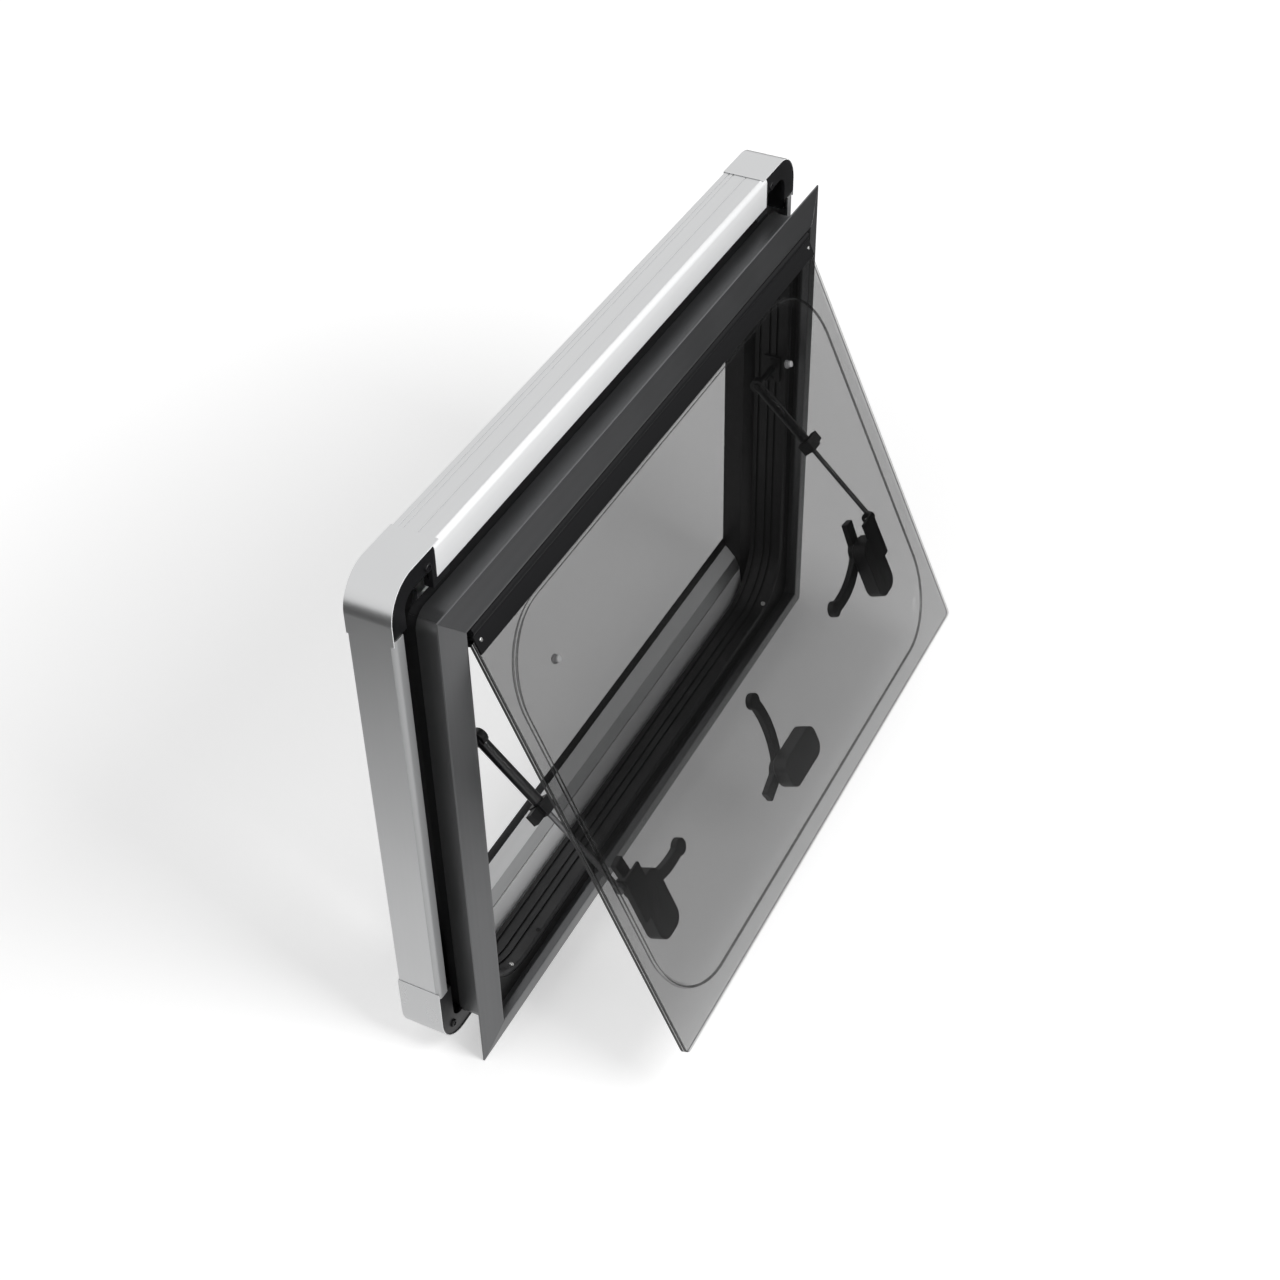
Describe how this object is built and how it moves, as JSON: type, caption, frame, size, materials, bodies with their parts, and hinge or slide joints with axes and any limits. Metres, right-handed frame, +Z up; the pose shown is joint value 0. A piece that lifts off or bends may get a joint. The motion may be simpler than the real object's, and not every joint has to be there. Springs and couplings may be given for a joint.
{
  "type": "caravan window",
  "caption": "Top-hung caravan window: smoked acrylic sash with latches and telescopic stays in a metal frame with a silver inner frame.",
  "frame": {"origin": "on the flat back face of the flange, in the middle of its bottom side, where it presses on the vehicle's outer skin", "axes": "+X to the right seen from outside, +Y through the wall into the room, +Z up"},
  "size_m": [0.77, 0.2704, 0.57],
  "materials": {
    "charcoal_frame": "satin powder coat",
    "black_liner": "matte ribbed",
    "black_rubber": "matte",
    "silver_frame": "satin anodised",
    "black_plastic": "satin moulded",
    "smoked_acrylic": "clear gloss, smoked",
    "clear_plug": "gloss",
    "black_tube": "satin black",
    "steel_rod": "satin"
  },
  "bodies": {
    "frame": {"outer_frame_top": "charcoal_frame", "reveal_liner_top": "black_liner", "cassette_top": "silver_frame", "outer_frame_bottom": "charcoal_frame", "reveal_liner_bottom": "black_liner", "cassette_bottom": "silver_frame", "outer_frame_left": "charcoal_frame", "reveal_liner_left": "black_liner", "cassette_left": "silver_frame", "outer_frame_right": "charcoal_frame", "reveal_liner_right": "black_liner", "cassette_right": "silver_frame", "corner_cap_top_left": "silver_frame", "corner_joint_top_left": "black_plastic", "corner_cap_top_right": "silver_frame", "corner_joint_top_right": "black_plastic", "corner_cap_bottom_left": "silver_frame", "corner_joint_bottom_left": "black_plastic", "corner_cap_bottom_right": "silver_frame", "corner_joint_bottom_right": "black_plastic", "surround_top": "silver_frame", "surround_bottom": "silver_frame", "surround_left": "black_liner", "surround_right": "black_liner", "frame_seal": "black_rubber", "hinge_rail": "charcoal_frame", "stay_pivot_left": "black_plastic", "stay_pivot_right": "black_plastic"},
    "sash": {"hinge_leaf": "black_plastic", "outer_pane": "smoked_acrylic", "inner_pane": "smoked_acrylic", "pane_plugs": "clear_plug", "latch_base_left": "black_plastic", "latch_base_middle": "black_plastic", "latch_base_right": "black_plastic"},
    "lever_left": {"latch_lever_left": "black_plastic"},
    "lever_middle": {"latch_lever_middle": "black_plastic"},
    "lever_right": {"latch_lever_right": "black_plastic"},
    "tube_left": {"stay_tube_left": "black_tube", "stay_collar_left": "black_plastic"},
    "tube_right": {"stay_tube_right": "black_tube", "stay_collar_right": "black_plastic"},
    "rod_left": {"stay_rod_left": "steel_rod"},
    "rod_right": {"stay_rod_right": "steel_rod"}
  },
  "joints": [
    {"name": "sash_hinge", "type": "hinge", "parent": "frame", "child": "sash", "pos_m": [0, -0.0046, 0.4945], "axis": [-1, 0, 0], "range_deg": [-24, 0]},
    {"name": "lever_left_turn", "type": "hinge", "parent": "sash", "child": "lever_left", "pos_m": [-0.263, -0.10944, 0.17666], "axis": [0, -0.9135, 0.4067], "range_deg": [0, 75]},
    {"name": "lever_middle_turn", "type": "hinge", "parent": "sash", "child": "lever_middle", "pos_m": [-0.008, -0.14035, 0.10723], "axis": [0, -0.9135, 0.4067], "range_deg": [0, 72]},
    {"name": "lever_right_turn", "type": "hinge", "parent": "sash", "child": "lever_right", "pos_m": [0.263, -0.10944, 0.17666], "axis": [0, 0.9135, -0.4067], "range_deg": [0, 75]},
    {"name": "stay_left_pivot", "type": "hinge", "parent": "frame", "child": "tube_left", "pos_m": [-0.292, 0.024, 0.331], "axis": [-1, 0, 0], "range_deg": [-44.02, 0]},
    {"name": "stay_left_slide", "type": "slide", "parent": "tube_left", "child": "rod_left", "axis": [0, -0.7191, -0.6949], "range_m": [-0.0392, 0]},
    {"name": "stay_right_pivot", "type": "hinge", "parent": "frame", "child": "tube_right", "pos_m": [0.292, 0.024, 0.331], "axis": [-1, 0, 0], "range_deg": [-44.02, 0]},
    {"name": "stay_right_slide", "type": "slide", "parent": "tube_right", "child": "rod_right", "axis": [0, -0.7191, -0.6949], "range_m": [-0.0392, 0]}
  ],
  "couplings": [
    {"joint": "stay_left_pivot", "follows": "sash_hinge", "ratio": 1.8322},
    {"joint": "stay_left_slide", "follows": "sash_hinge", "m_per_rad": 0.093353},
    {"joint": "stay_right_pivot", "follows": "sash_hinge", "ratio": 1.8322},
    {"joint": "stay_right_slide", "follows": "sash_hinge", "m_per_rad": 0.093353}
  ]
}
